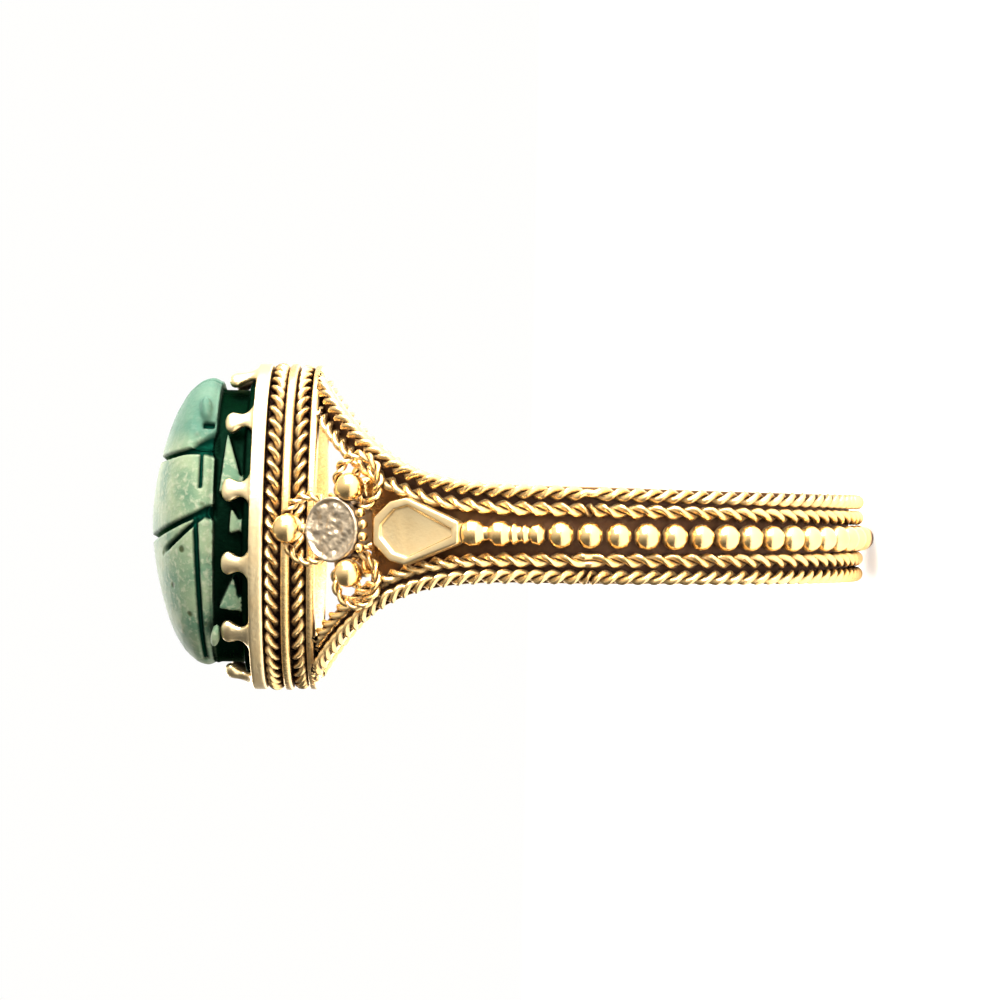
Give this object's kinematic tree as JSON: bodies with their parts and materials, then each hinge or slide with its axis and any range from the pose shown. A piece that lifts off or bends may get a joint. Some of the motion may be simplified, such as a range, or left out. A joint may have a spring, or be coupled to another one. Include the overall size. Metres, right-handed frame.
{
  "type": "scarab ring",
  "caption": "Gold finger ring with a carved green scarab in a claw crown, twisted wire shoulders and a beaded shank.",
  "frame": {"origin": "centre of the finger bore", "axes": "+Z from the bore's centre to the scarab, +Y along the finger towards the scarab's head, +X out of the shoulder nearest the picture's camera"},
  "size_m": [0.0198, 0.0112, 0.0245],
  "materials": {
    "gold": "polished gold with darker recesses",
    "glazed_stone": "worn green glaze"
  },
  "bodies": {
    "root": {"shank_hoop": "gold", "head_outer_rope": "gold", "head_inner_rope": "gold", "tail_outer_rope": "gold", "tail_inner_rope": "gold", "bead_row": "gold", "bezel_wall": "gold", "back_rim": "gold", "back_rope": "gold", "plain_wire": "gold", "front_rope": "gold", "seat_ledge": "gold", "claw_crown": "gold", "scarab": "glazed_stone", "near_trefoil_disc": "gold", "near_trefoil_beads": "gold", "near_bezel_collar": "gold", "near_side_collars": "gold", "near_link_granules": "gold", "near_leaf_plaque": "gold", "near_turned_stem": "gold", "far_trefoil_disc": "gold", "far_trefoil_beads": "gold", "far_bezel_collar": "gold", "far_side_collars": "gold", "far_link_granules": "gold", "far_leaf_plaque": "gold", "far_turned_stem": "gold"}
  },
  "joints": []
}
